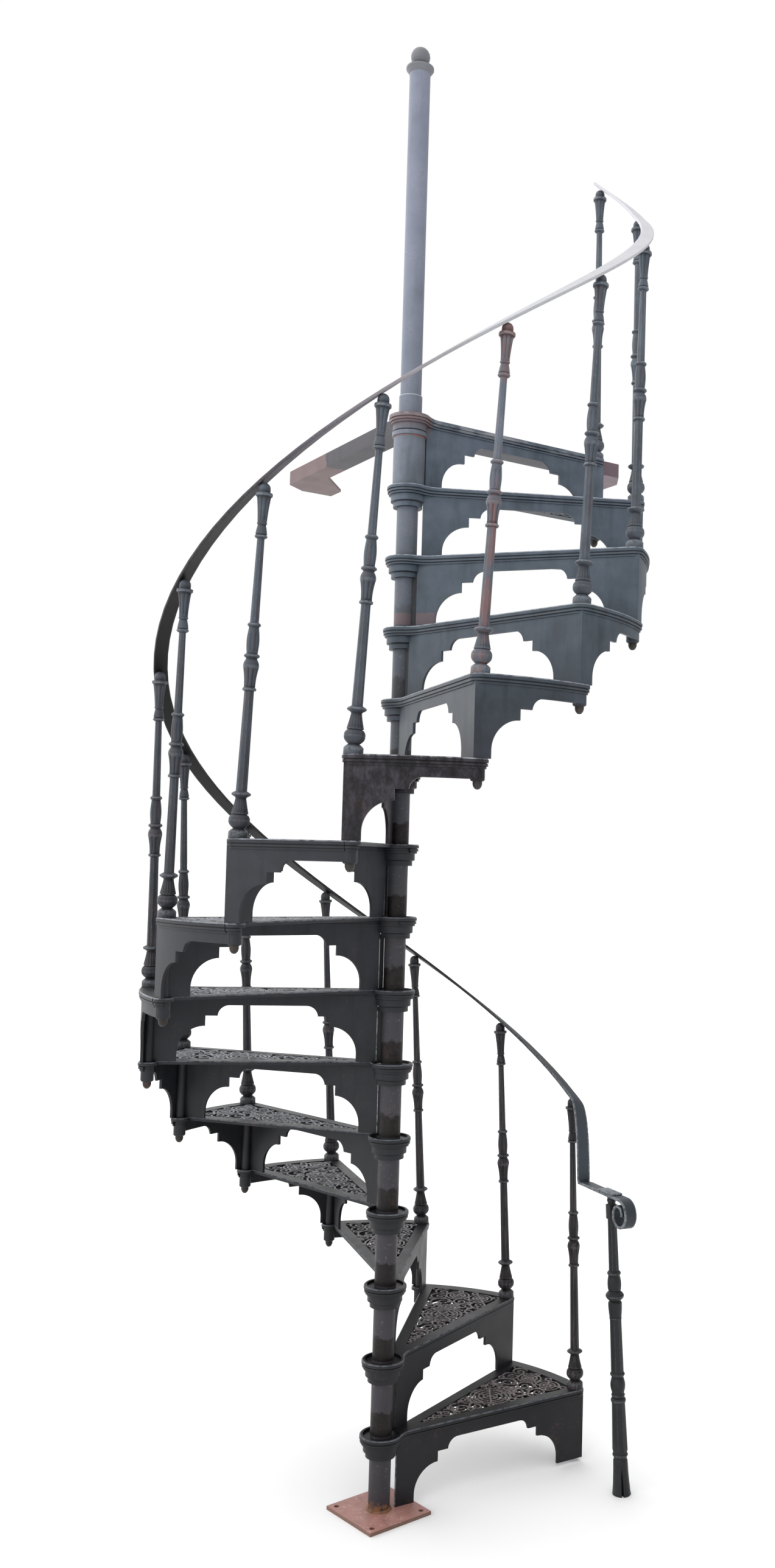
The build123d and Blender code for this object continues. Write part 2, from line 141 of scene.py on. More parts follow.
def mix(tree, share, first, second):
    node = add(tree, "ShaderNodeMix", data_type="RGBA")
    for index, value in ((0, share), (6, first), (7, second)):
        if isinstance(value, bpy.types.NodeSocket):
            tree.links.new(value, node.inputs[index])
        else:
            node.inputs[index].default_value = linear(value) if isinstance(value, str) else value
    return node.outputs[2]


def calc(tree, operation, first, second=0.0, third=0.0):
    sockets = {0: first, 1: second, 2: third}
    return add(tree, "ShaderNodeMath", sockets, operation=operation).outputs[0]


def times(tree, first, *others):
    for factor in others:
        first = calc(tree, "MULTIPLY", first, factor)
    return first


def multiply(tree, first, second):
    node = add(tree, "ShaderNodeMix", data_type="RGBA", blend_type="MULTIPLY")
    node.inputs[0].default_value = 1.0
    tree.links.new(first, node.inputs[6])
    tree.links.new(second, node.inputs[7])
    return node.outputs[2]


def noise_of(tree, where, size_mm, detail=3.0, rough=0.55, stretch=(1, 1, 1)):
    if stretch != (1, 1, 1):
        where = add(tree, "ShaderNodeMapping", {"Vector": where, "Scale": stretch}).outputs[0]
    sockets = {"Vector": where, "Scale": 1000 / size_mm, "Detail": detail, "Roughness": rough}
    return add(tree, "ShaderNodeTexNoise", sockets).outputs["Fac"]


def smooth_step(tree, value, low, high):
    sockets = {"Value": value, "From Min": low, "From Max": high}
    return add(tree, "ShaderNodeMapRange", sockets, interpolation_type="SMOOTHSTEP").outputs[0]


def between(tree, value, low, high, soft):
    rising = smooth_step(tree, value, low - soft, low + soft)
    falling = smooth_step(tree, value, high + soft, high - soft)
    return times(tree, rising, falling)


def wander(tree, where, size_mm, detail, reach):
    # A drift of up to half the reach each way, which keeps an edge from running straight.
    return calc(tree, "MULTIPLY_ADD", noise_of(tree, where, size_mm, detail), reach, -reach / 2)


# %% [markdown]
# Old paint on cast iron is a slate grey. Its colour carries painted light: lighter near the top
# for the glare of the bright sky, and nearly black lower down for shade. It has lifted along
# the edges. The colour follows height through a few tones, two sizes of blotch, and two point
# attributes: wear on the crests of a piece, with a painted sheen on some, and grime with
# painted shade in its hollows. Marks that only one kind of piece has are added by a function
# of its own. The casting's sandy skin is too fine to see from here, so it is drawn coarser.
# Dull paint reflects less than a fresh gloss coat, so its specular level is halved.

# %% Painted cast iron
GRAIN = 2.2
BLOTCH = 70.0
SPECK = 7.0
DULL = 0.25
ROUGHNESS = 0.44
SKIN_STRENGTH = 0.3
SKIN_DEPTH = 0.3 * MM
SPECK_IN_SKIN = 1.6
TALLEST = 4.2
RUST = "#5c3a2c"
# The rubbed metal is lighter up high too, as painted glare.
RUBBED = ((0.5, "#63666b"), (3.0, "#8d949c"))


# The tones by height are painted light: lighter up high for glare, darker low down for shade.
def by_height(tree, height, tones_and_painted_light):
    share = calc(tree, "DIVIDE", height, TALLEST)
    return ramp(tree, share, [(level / TALLEST, colour) for level, colour in tones_and_painted_light])


def painted_iron(
    name, tones_and_painted_light, rust_amount=0.25, marks=None, patchy=1.0, relief=1.0, rubbed=RUBBED
):
    material = bpy.data.materials.new(name)
    material.use_nodes = True
    tree = material.node_tree
    shader = tree.nodes["Principled BSDF"]
    shader.inputs["Specular IOR Level"].default_value = DULL
    coordinates = add(tree, "ShaderNodeTexCoord")
    where = coordinates.outputs["Object"]
    height = z_of(tree, where)
    blotch = noise_of(tree, where, BLOTCH, 4.0)
    runs = noise_of(tree, where, BLOTCH / 2, 3.0, stretch=(1, 1, 0.15))
    speck = noise_of(tree, where, SPECK, 4.0, 0.65)
    # The colour for this height, with its painted glare and shade, first clouded by blotches and
    # then by runs down the face.
    paint = by_height(tree, height, tones_and_painted_light)
    clouds = [(0.32, 1 - 0.26 * patchy), (0.55, 1.0), (0.72, 1 + 0.2 * patchy)]
    paint = multiply(tree, paint, ramp(tree, blotch, clouds))
    paint = multiply(tree, paint, ramp(tree, runs, [(0.3, 1 - 0.22 * patchy), (0.5, 1.0)]))
    if marks:
        paint = marks(tree, where, coordinates.outputs["Normal"], paint)
    # Rust shows where blotch and speck meet, dirt and painted shade in the hollows, and metal on
    # the crests.
    spread = [(0.36 - 0.1 * rust_amount, 0.0), (0.42, 1.0)]
    rust = ramp(tree, times(tree, blotch, speck), spread)
    paint = mix(tree, times(tree, rust, rust_amount), paint, RUST)
    grime_and_shade = add(tree, "ShaderNodeAttribute", attribute_name="grime_and_shade").outputs["Fac"]
    paint = multiply(tree, paint, ramp(tree, grime_and_shade, [(0.0, 1.0), (1.0, 0.3)]))
    wear = add(tree, "ShaderNodeAttribute", attribute_name="wear").outputs["Fac"]
    chip = ramp(tree, speck, [(0.40, 0.15), (0.58, 1.0)])
    paint = mix(tree, times(tree, wear, chip), paint, by_height(tree, height, rubbed))
    tree.links.new(paint, shader.inputs["Base Color"])
    range_of = {"Value": blotch, "To Min": ROUGHNESS - 0.1, "To Max": ROUGHNESS + 0.16}
    polish = add(tree, "ShaderNodeMapRange", range_of)
    tree.links.new(polish.outputs[0], shader.inputs["Roughness"])
    skin = calc(tree, "MULTIPLY_ADD", speck, SPECK_IN_SKIN, noise_of(tree, where, GRAIN, 2.0))
    sockets = {"Height": skin, "Strength": SKIN_STRENGTH, "Distance": SKIN_DEPTH * relief}
    bump = add(tree, "ShaderNodeBump", sockets)
    tree.links.new(bump.outputs[0], shader.inputs["Normal"])
    return material


# %% [markdown]
# A tread's underside and grooves are darkened with painted shade, its top is trodden dull and
# its rounded edges are rubbed bright and carry a painted highlight. On the lower flights a
# painted highlight runs down the riser's inner edge beside the column. The treads are all
# alike, so the height above the tread below places such a mark on every one of them.

# %% Marks on the treads
HUB_REACH = 45 * MM
NECK_DROP = 60 * MM
LINE_FULL_BELOW = 1.6
LINE_GONE_ABOVE = 1.75
GROOVES = (12.6 * MM, 19.0 * MM)
GROOVE_HALF = 1.1 * MM
GROOVE_SHADE = "#0b0b0c"
SHADED_FACES = [(0.05, 0.4), (0.35, 0.6), (0.5, 1.0), (0.86, 1.0), (0.98, 0.6)]
EDGE_WEAR_AND_HIGHLIGHT = ((0.4, "#5f6369"), (1.6, "#80858c"), (2.6, "#a2a8b0"))
INNER_EDGE_HIGHLIGHT = "#a9adb0"
TAPE = "#6a595c"
TAPE_LOW = top_of(12) + 9 * MM
TAPE_HIGH = top_of(12) + 42 * MM
TAPE_REACH = 104 * MM


def above_tread(tree, where):
    return calc(tree, "MODULO", calc(tree, "SUBTRACT", z_of(tree, where), BASE), RISE)


def from_column(tree, where):
    sockets = {0: where, 1: (1, 1, 0)}
    flat = add(tree, "ShaderNodeVectorMath", sockets, operation="MULTIPLY").outputs[0]
    return add(tree, "ShaderNodeVectorMath", {0: flat}, operation="LENGTH").outputs["Value"]


def taped(tree, where, paint):
    # A strip of old tape is wound round the tube and the riser that stands beside it.
    height = calc(tree, "ADD", z_of(tree, where), wander(tree, where, 20.0, 3.0, 6 * MM))
    strip = between(tree, height, TAPE_LOW, TAPE_HIGH, 1.5 * MM)
    within = smooth_step(tree, from_column(tree, where), TAPE_REACH, TAPE_REACH - 6 * MM)
    return mix(tree, times(tree, strip, within, 0.7), paint, TAPE)


def tread_marks(tree, where, normal, paint):
    height = z_of(tree, where)
    facing = z_of(tree, normal)
    above = above_tread(tree, where)
    paint = taped(tree, where, paint)
    for depth in GROOVES:
        # Painted shade darkens the two grooves of the nosing.
        middle = RISE - depth
        groove = between(tree, above, middle - GROOVE_HALF, middle + GROOVE_HALF, 0.5 * MM)
        paint = mix(tree, times(tree, groove, 0.8), paint, GROOVE_SHADE)
    # Painted shade darkens the faces that turn down; the tops are trodden a little dull.
    lifted = calc(tree, "MULTIPLY_ADD", facing, 0.5, 0.5)
    paint = multiply(tree, paint, ramp(tree, lifted, SHADED_FACES))
    broken = ramp(tree, noise_of(tree, where, 18.0, 4.0, 0.6), [(0.34, 0.1), (0.56, 0.75)])
    # Broken light lines on the rounded edges: rubbed paint and a painted highlight.
    edge = times(tree, between(tree, facing, 0.6, 0.8, 0.04), broken)
    paint = mix(tree, edge, paint, by_height(tree, height, EDGE_WEAR_AND_HIGHLIGHT))
    # A painted highlight along the riser's inner edge, on the lower flights only.
    clear_run = between(tree, above, 4 * MM, RISE - NECK_DROP - 4 * MM, 3 * MM)
    inner = smooth_step(tree, from_column(tree, where), HUB_REACH + 0.8 * MM, HUB_REACH)
    low_flights = smooth_step(tree, height, LINE_GONE_ABOVE, LINE_FULL_BELOW)
    return mix(tree, times(tree, clear_run, inner, broken, low_flights), paint, INNER_EDGE_HIGHLIGHT)


# %% [markdown]
# The column's tube is brownish grey, with a dark brown band above each hub where wet and
# grease have crept up. The band's upper edge wanders, so a little noise is added to the
# height before it is compared.

# %% Marks on the column
BAND = 62 * MM
BAND_WANDER = 44 * MM
FLECK = "#83868c"
WET_IRON = [(0.35, "#54463f"), (0.62, "#8a776d")]
FOOT_RUST = "#7d5536"


def column_marks(tree, where, normal, paint):
    level = z_of(tree, where)
    drift = wander(tree, where, 22.0, 3.0, BAND_WANDER)
    height = calc(tree, "ADD", above_tread(tree, where), drift)
    band = smooth_step(tree, height, BAND + 5 * MM, BAND - 5 * MM)
    flecks = ramp(tree, noise_of(tree, where, 9.0, 2.0, 0.5), [(0.63, 0.0), (0.72, 0.22)])
    paint = mix(tree, flecks, paint, FLECK)
    dark = multiply(tree, paint, ramp(tree, noise_of(tree, where, 14.0), WET_IRON))
    # The foot has no band, and the bands fade out over the last five treads.
    started = smooth_step(tree, level, BASE + BAND, top_of(1))
    lasting = smooth_step(tree, level, top_of(TREADS), top_of(TREADS - 5))
    paint = mix(tree, times(tree, band, lasting, started), paint, dark)
    paint = taped(tree, where, paint)
    patches = ramp(tree, noise_of(tree, where, 16.0, 5.0, 0.7), [(0.44, 0.0), (0.56, 0.9)])
    foot = smooth_step(tree, level, BASE + 34 * MM, BASE + 8 * MM)
    return mix(tree, times(tree, foot, patches), paint, FOOT_RUST)


# %% [markdown]
# The plate was primed and then scuffed: pale scratches show on its face, and its sawn edges
# and the ground round the weld are brown with rust.

# %% Marks on the base plate
SCUFF = "#bcaaa0"
SAWN_EDGE = "#5c4a3e"
PLATE_RUST = "#8a6248"


def plate_marks(tree, where, normal, paint):
    scuffs = ramp(tree, noise_of(tree, where, 15.0, 6.0, 0.72), [(0.55, 0.0), (0.66, 0.6)])
    paint = mix(tree, scuffs, paint, SCUFF)
    side = times(tree, smooth_step(tree, z_of(tree, normal), 0.6, 0.3), 0.75)
    paint = mix(tree, side, paint, SAWN_EDGE)
    patches = ramp(tree, noise_of(tree, where, 20.0, 5.0, 0.7), [(0.42, 0.0), (0.58, 0.8)])
    near_weld = smooth_step(tree, from_column(tree, where), 58 * MM, 34 * MM)
    return mix(tree, times(tree, near_weld, patches), paint, PLATE_RUST)


# %% [markdown]
# The landing irons were primed salmon pink and then painted over, all but their outer ends.

# %% Marks on the landing irons
def iron_marks(along, start, bare):
    def marks(tree, where, normal, paint):
        reach = add(tree, "ShaderNodeSeparateXYZ", {"Vector": where}).outputs[along]
        reach = calc(tree, "ADD", reach, wander(tree, where, 40.0, 4.0, 60 * MM))
        return mix(tree, smooth_step(tree, reach, start - 6 * MM, start + 6 * MM), paint, bare)
    return marks


# %% [markdown]
# The riser of the landing carried a floor that is gone. Rain has bleached its top in streaks,
# and its hub's rim and the seam of the sleeve are rusty. The sleeve's lip is rubbed pale.

# %% Marks at the landing
LANDING = top_of(TREADS + 1)
BLEACHED = "#94969b"
RIM_RUST = "#7d5f5a"
SEAM_RUST = "#a8592c"
LIP = "#b9bdc2"


def landing_marks(tree, where, normal, paint):
    paint = tread_marks(tree, where, normal, paint)
    height = z_of(tree, where)
    rain = noise_of(tree, where, 16.0, 4.0, 0.6, stretch=(0.25, 1, 1))
    streaks = ramp(tree, rain, [(0.45, 0.0), (0.62, 0.8)])
    top = smooth_step(tree, height, LANDING - 26 * MM, LANDING - 4 * MM)
    paint = mix(tree, times(tree, top, streaks), paint, BLEACHED)
    rim = smooth_step(tree, from_column(tree, where), 66 * MM, 60 * MM)
    upper = smooth_step(tree, height, LANDING - 60 * MM, LANDING - 10 * MM)
    return mix(tree, times(tree, rim, upper, 0.5), paint, RIM_RUST)


def sleeve_marks(tree, where, normal, paint):
    height = z_of(tree, where)
    seam = between(tree, height, LANDING - 63 * MM, LANDING - 60 * MM, 1.5 * MM)
    broken = ramp(tree, noise_of(tree, where, 12.0), [(0.4, 0.2), (0.6, 1.0)])
    paint = mix(tree, times(tree, seam, broken), paint, SEAM_RUST)
    lip = smooth_step(tree, height, LANDING + 57 * MM, LANDING + 59 * MM)
    return mix(tree, times(tree, lip, 0.8), paint, LIP)


# %% [markdown]
# One baluster near the top shows its red primer in long streaks. The tenth tread, whose
# bracket faces the viewer, is stained a purplish brown and peels in flakes.

# %% Marks on two single pieces
RED_STREAK = "#765653"
RED_CAPITAL = "#6f4f4b"
CAPITAL_STARTS = top_of(11) + 812 * MM
CAPITAL_FULL = top_of(11) + 832 * MM


def red_streaks(tree, where, normal, paint):
    streaks = noise_of(tree, where, 9.0, 3.0, 0.6, stretch=(1, 1, 0.05))
    patches = noise_of(tree, where, 120.0, 2.0)
    share = ramp(tree, times(tree, streaks, patches), [(0.25, 0.0), (0.33, 0.7)])
    paint = mix(tree, share, paint, RED_STREAK)
    capital = smooth_step(tree, z_of(tree, where), CAPITAL_STARTS, CAPITAL_FULL)
    return mix(tree, times(tree, capital, 0.8), paint, RED_CAPITAL)


def peeling_marks(tree, where, normal, paint):
    paint = tread_marks(tree, where, normal, paint)
    flakes = noise_of(tree, where, 26.0, 6.0, 0.7, stretch=(1, 1, 0.6))
    return multiply(tree, paint, ramp(tree, flakes, [(0.4, 0.25), (0.5, 0.8), (0.62, 1.7)]))


# %% [markdown]
# Hands have worn the balusters' paint down to brown in long faint streaks.

# %% Marks on the balusters
WORN_BROWN = "#4a4043"


def brown_streaks(tree, where, normal, paint):
    streaks = noise_of(tree, where, 7.0, 3.0, 0.6, stretch=(1, 1, 0.04))
    return mix(tree, ramp(tree, streaks, [(0.48, 0.0), (0.62, 0.55)]), paint, WORN_BROWN)


# %% [markdown]
# Seven finishes follow the record's slots, each as a few tones at heights in metres, lighter
# up high as painted glare and darker low down as painted shade. A few pieces have a finish
# of their own.

# %% The finishes
SLATE = (
    (0.3, "#1b1b1f"), (1.3, "#25272c"), (1.95, "#2d2f35"), (2.5, "#49535d"), (3.1, "#5c6673"),
)
BALUSTER_SLATE = ((0.6, "#1b1b1e"), (1.6, "#2b2e33"), (2.4, "#454d56"), (3.3, "#525b65"))
TUBE_GREY = (
    (0.1, "#353237"), (1.6, "#3b3a3f"), (2.3, "#4a4f57"), (3.0, "#6d747f"), (3.6, "#7c8191"),
)
# Painted light in the rail's tones: near black low down for shade, silver-white high up for glare.
RAIL_GREY_AND_GLARE = (
    (0.8, "#2b3035"), (0.9, "#333a41"), (1.08, "#323940"), (1.2, "#232629"), (1.45, "#151516"),
    (2.5, "#19191a"), (2.66, "#2e2c2f"), (2.8, "#55505a"), (2.95, "#8d898e"), (3.06, "#a4a5a9"),
    (3.4, "#b3b3b8"), (3.8, "#bcbbc1"),
)
# The rail's rubbed edges, also silver-white high up as painted glare.
RAIL_RUBBED_AND_GLARE = (
    (0.95, "#8f9499"), (1.15, "#6d7176"), (1.4, "#343537"), (2.4, "#2c2d30"), (2.75, "#504d52"),
    (2.95, "#918d92"), (3.06, "#a8a9ad"), (3.4, "#b8b8bd"),
)
PRIMER = ((0.0, "#a2756e"), (3.0, "#7d6361"))
NEWEL_BLACK = ((0.1, "#202124"), (0.8, "#242528"))
NUT_BROWN = ((0.2, "#241e1c"), (2.6, "#3a3735"))
FINISHES = {
    "tread_iron": painted_iron("slate_paint_on_cast_iron", SLATE, marks=tread_marks),
    "baluster_iron": painted_iron("slate_paint_on_balusters", BALUSTER_SLATE, marks=brown_streaks),
    "newel_iron": painted_iron("black_paint_on_newel", NEWEL_BLACK, 0.1),
    "rail_iron": painted_iron(
        "worn_paint_and_glare_on_rail", RAIL_GREY_AND_GLARE, 0.1, patchy=0.3, relief=0.3, rubbed=RAIL_RUBBED_AND_GLARE
    ),
    "column_paint": painted_iron(
        "brown_grey_column_paint", TUBE_GREY, marks=column_marks, patchy=0.5
    ),
    "nut_iron": painted_iron("rusty_nut_iron", NUT_BROWN, 0.6),
    "primed_steel": painted_iron(
        "salmon_primer_on_steel", PRIMER, 0.3, marks=plate_marks, patchy=0.6
    ),
}
PRIMED_LEFT = iron_marks("Y", 0.50, "#665354")
PRIMED_RIGHT = iron_marks("X", 0.56, "#6d5d64")
GREY_LEFT = ((3.0, "#39373e"), (3.1, "#414249"))
GREY_RIGHT = ((3.0, "#46444a"), (3.1, "#4d545d"))
STAINED = ((1.9, "#29252c"), (2.1, "#322f36"))
# Scrollwork crests: worn pinkish low down, and a lighter painted sheen higher up.
CRESTS_WORN_AND_SHEENED = ((0.2, "#7d7271"), (0.6, "#807c7e"), (1.0, "#8f9196"), (1.7, "#9ca0a6"))
LIGHT_SLATE = ((2.3, "#4d545e"), (3.1, "#646b76"))
# Near black, as painted shade in the slots beside the column.
SLOT_SHADE = ((0.3, "#131315"), (3.0, "#26282c"))
BALL_GREY = ((4.0, "#6f7178"), (4.1, "#74767b"))
WELD_BROWN = ((0.0, "#775139"), (0.1, "#5d4233"))
OWN_FINISHES = {
    "tread_10": painted_iron("peeling_brown_iron", STAINED, 0.15, marks=peeling_marks, relief=3.0),
    "baluster_11": painted_iron("slate_over_red_primer", LIGHT_SLATE, 0.3, marks=red_streaks),
    "landing_riser": painted_iron("rain_bleached_slate", SLATE, 0.3, marks=landing_marks),
    "landing_sleeve": painted_iron("sleeve_paint", TUBE_GREY, marks=sleeve_marks),
    "pole_sleeve": painted_iron("pole_sleeve_paint", TUBE_GREY, marks=sleeve_marks, patchy=0.5),
    "ball_finial": painted_iron("finial_paint", BALL_GREY, patchy=0.5),
    "landing_bearer_left": painted_iron("primer_under_grey", GREY_LEFT, 0.4, marks=PRIMED_LEFT),
    "landing_bearer_right": painted_iron("primer_under_slate", GREY_RIGHT, 0.4, marks=PRIMED_RIGHT),
    "slot_flange": painted_iron("painted_shade_in_slot", SLOT_SHADE, 0.1),
    "scrollwork": painted_iron("scrollwork_worn_and_sheened", SLATE, 0.3, rubbed=CRESTS_WORN_AND_SHEENED),
    "foot_weld": painted_iron("rusty_weld", WELD_BROWN, 0.6, patchy=1.8, relief=4.0),
}

# %% [markdown]
# Every node of the frame gets the finish that the record gives it, or its own.

# %% Finishes on the frame's own pieces
for part in frame["record"]["subparts"]:
    node = frame["nodes"][part["node"]]
    node.data.materials.clear()
    finish = OWN_FINISHES.get(part["node"], FINISHES[part["material_slot"]])
    node.data.materials.append(finish)
print("finishes in use:", len(FINISHES) + len(OWN_FINISHES))

# %% [markdown]
# Most of the ironwork is turned or cast from a turned pattern. A turner thinks in beads,
# hollows and straight runs, so a profile here is a chain of such stretches. Each stretch may
# swell out or in on the way, and one spin round the post's own axis makes the solid.


# %% Turning helpers
POST_SEGMENTS = 48
SIDES = 8
SOFT_CORNER = 1.2
CORNER_WEAR = 0.4
GRIME_AND_SHADE_DEPTH = 0.7 * MM


def stretch(low, high, start, end, swell=0.0, steps=5):
    points = []
    for index in range(steps + 1):
        share = index / steps
        radius = start + (end - start) * share + swell * math.sin(math.pi * share)
        points.append((radius, low + (high - low) * share))
    return points


def turned(mesh, profile):
    made = [mesh.verts.new((radius * MM, 0, height * MM)) for radius, height in profile]
    line = [mesh.edges.new(pair) for pair in zip(made, made[1:])]
    bmesh.ops.spin(
        mesh, geom=made + line, cent=(0, 0, 0), axis=(0, 0, 1), angle=2 * math.pi,
        steps=POST_SEGMENTS, use_merge=True,
    )
    bmesh.ops.remove_doubles(mesh, verts=mesh.verts[:], dist=0.01 * MM)


def faceted(mesh, low, high, low_radius, high_radius):
    # The eight-sided shaft between the turned parts, with its corners rubbed round.
    middle = Matrix.Translation((0, 0, (low + high) / 2 * MM))
    made = bmesh.ops.create_cone(
        mesh, cap_ends=True, segments=SIDES, radius1=low_radius * MM, radius2=high_radius * MM,
        depth=(high - low) * MM, matrix=middle,
    )
    corners = {edge for vert in made["verts"] for edge in vert.link_edges}
    corners = [edge for edge in corners if edge.calc_length() > (high - low) / 2 * MM]
    rounded = bmesh.ops.bevel(
        mesh, geom=corners, offset=SOFT_CORNER * MM, segments=2, profile=0.5, affect="EDGES",
        material=-1,
    )
    wear = mesh.verts.layers.float["wear"]
    for vert in rounded["verts"]:
        # Only the middle row of each rounded corner is rubbed, which stands at a whole eighth.
        eighths = math.degrees(math.atan2(vert.co.y, vert.co.x)) / (360 / SIDES)
        if abs(eighths - round(eighths)) < 0.03:
            vert[wear] = CORNER_WEAR


def flute(mesh, low, high, count, depth):
    # Pull the surface in between the ribs, which stand where the cosine is one.
    columns = {}
    for vert in mesh.verts:
        if low * MM <= vert.co.z <= high * MM and vert.co.xy.length > 1 * MM:
            angle = math.degrees(math.atan2(vert.co.y, vert.co.x))
            columns.setdefault(round(angle, 1), []).append(vert)
    for angle, group in columns.items():
        rib = abs(math.cos(math.radians(angle) * count / 2))
        keep = 1 - depth * (1 - rib)
        bmesh.ops.scale(mesh, vec=(keep, keep, 1), verts=group)


def new_mesh():
    mesh = bmesh.new()
    mesh.verts.layers.float.new("wear")
    mesh.verts.layers.float.new("grime_and_shade")
    return mesh


def mark_wear(mesh, bands):
    wear = mesh.verts.layers.float["wear"]
    for low, high, amount in bands:
        for vert in mesh.verts:
            if low * MM <= vert.co.z <= high * MM:
                vert[wear] = max(vert[wear], amount)


def mark_grime_and_shade(mesh):
    # Dirt and painted shade go where a point lies lower than the middle of its neighbours.
    bmesh.ops.recalc_face_normals(mesh, faces=mesh.faces[:])
    mesh.normal_update()
    grime_and_shade = mesh.verts.layers.float["grime_and_shade"]
    for vert in mesh.verts:
        around = [edge.other_vert(vert).co for edge in vert.link_edges]
        hollow = (sum(around, Vector()) / len(around) - vert.co).dot(vert.normal)
        vert[grime_and_shade] = min(1.0, max(0.0, hollow / GRIME_AND_SHADE_DEPTH))


def level_foot(mesh):
    # Cut the leaned foot level with what it stands on, and close it again.
    everything = mesh.verts[:] + mesh.edges[:] + mesh.faces[:]
    made = bmesh.ops.bisect_plane(
        mesh, geom=everything, plane_co=(0, 0, 0), plane_no=(0, 0, 1), clear_inner=True
    )
    rim = [edge for edge in made["geom_cut"] if isinstance(edge, bmesh.types.BMEdge)]
    bmesh.ops.holes_fill(mesh, edges=rim, sides=0)


def rounded_block(mesh, place, corner):
    made = bmesh.ops.create_cube(mesh, size=1, matrix=place)
    edges = list({edge for vert in made["verts"] for edge in vert.link_edges})
    return bmesh.ops.bevel(
        mesh, geom=edges, offset=corner, segments=2, profile=0.5, affect="EDGES", material=-1
    )["verts"]


def add_piece(name, mesh, slot, stands_for=(), crease=32, finish=None):
    bmesh.ops.recalc_face_normals(mesh, faces=mesh.faces[:])
    data = bpy.data.meshes.new(name)
    mesh.to_mesh(data)
    data.shade_smooth()
    data.set_sharp_from_angle(angle=math.radians(crease))
    data.materials.append(finish or FINISHES[slot])
    piece = bpy.data.objects.new(name, data)
    bpy.context.scene.collection.objects.link(piece)
    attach(piece, "root")
    if stands_for:
        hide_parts(*stands_for)


# %% [markdown]
# The balusters are cast all alike: a drum foot, a ball, a fluted cone under a disc, an
# eight-sided shaft, a vase and disc at half height, a second shaft, and a leafy bell under
# the dome that carries the rail. One is made upright, and copies are leaned and placed.

# %% Baluster
LEAN = math.radians(3.2)
LAST_LEAN = math.radians(0.6)
DOME_RADIUS = 14.4
DOME_HEIGHT = 862.0
DOME_STEPS = 6
LEAVES = 16
LEAF_PARTS = (
    (61, 96, LEAVES, 0.12), (368, 408, LEAVES / 2, 0.16), (455, 500, LEAVES / 2, 0.10),
    (768, 826, LEAVES / 2, 0.14),
)
# Lighter rings: worn paint and a painted sheen.
BALUSTER_WEAR_AND_SHEEN = (
    (14, 17, 0.5), (42, 44.5, 0.2), (59, 60, 0.4), (105, 109, 0.5), (358.5, 361.5, 0.5),
    (411, 417, 0.25), (439.5, 442.5, 0.6), (515, 518.5, 0.5), (730, 732.5, 0.5), (829, 831, 0.6),
)


def baluster_profile():
    # Radius and height from the tread up: the drum and the neck over it, the ball, the cone.
    profile = [(0, -4), (23.4, -4), (23.7, 0), (23.7, 14.5), (22.6, 16.5), (17, 21.5), (13.8, 23.2)]
    profile += stretch(24, 43, 13.8, 25.6, 3.6, 6) + stretch(44, 56, 25.5, 20.8, 1.4, 4)
    profile += [(18, 57), (18, 58.5), (20.4, 59.5)] + stretch(60.5, 97, 20.6, 12.8, -0.4, 6)
    # The disc, and a core inside the first shaft.
    profile += stretch(100, 113, 15.5, 15.5, 8.2, 6) + [(11, 115.5), (10.4, 354), (12.5, 356)]
    # Ring, vase, disc and a second vase at half height, and a core inside the second shaft.
    profile += stretch(357, 363, 15.6, 15.6, 1.3, 4)
    profile += stretch(364.5, 414, 13.4, 18.8, -1.4, 8)
    profile += stretch(416, 433, 18.9, 13.4, 1.6, 5)
    profile += stretch(435.5, 446.5, 13.6, 13.6, 5.6, 6)
    profile += stretch(449, 508, 13.4, 12.2, 2.4, 8)
    profile += stretch(511, 522, 12.2, 11, 4.6, 6) + [(9.4, 524), (7.8, 725)]
    # The head: a disc, a small vase, a ring, the leafy bell and the capital under the dome.
    profile += stretch(727, 735, 12.4, 12.4, 3.2, 5) + stretch(736.5, 759, 14.0, 9.8, 0.4, 5)
    profile += stretch(760.5, 765.5, 10.8, 10.8, 1.6, 4)
    profile += stretch(767, 827, 11.2, 16.8, -0.7, 8)
    profile += [(19.6, 828.5), (20.6, 830), (20.6, 835), (20, 836), (14.6, 836.5)]
    return profile + dome_profile()


def dome_profile():
    middle = DOME_HEIGHT - DOME_RADIUS
    points = [(DOME_RADIUS, middle)]
    for index in range(1, DOME_STEPS + 1):
        turn = math.pi / 2 * index / DOME_STEPS
        points.append((DOME_RADIUS * math.cos(turn), middle + DOME_RADIUS * math.sin(turn)))
    return points


def baluster_mesh():
    mesh = new_mesh()
    turned(mesh, baluster_profile())
    for leaf_part in LEAF_PARTS:
        flute(mesh, *leaf_part)
    mark_wear(mesh, BALUSTER_WEAR_AND_SHEEN)
    mark_grime_and_shade(mesh)
    faceted(mesh, 112, 357, 13.8, 11.8)
    faceted(mesh, 521, 729, 10.9, 9.1)
    return mesh


upright = baluster_mesh()
for number in range(1, TREADS + 2):
    mesh = upright.copy()
    tilt = LEAN if number <= TREADS else LAST_LEAN
    bmesh.ops.rotate(mesh, matrix=Matrix.Rotation(-tilt, 3, "X"), verts=mesh.verts[:])
    level_foot(mesh)
    place = spin_about_column((number - 1) * STEP, top_of(number))
    place @= Matrix.Translation((CIRCLE, 0, 0))
    bmesh.ops.transform(mesh, matrix=place, verts=mesh.verts[:])
    node = f"baluster_{number:02d}"
    add_piece(f"turned_{node}", mesh, "baluster_iron", [node], finish=OWN_FINISHES.get(node))
print("faces in one baluster:", len(upright.faces))

# %% [markdown]
# The newel is a heavier post of the same family. Its foot is flared, ragged and split, as if
# it had been broken out of a kerb.

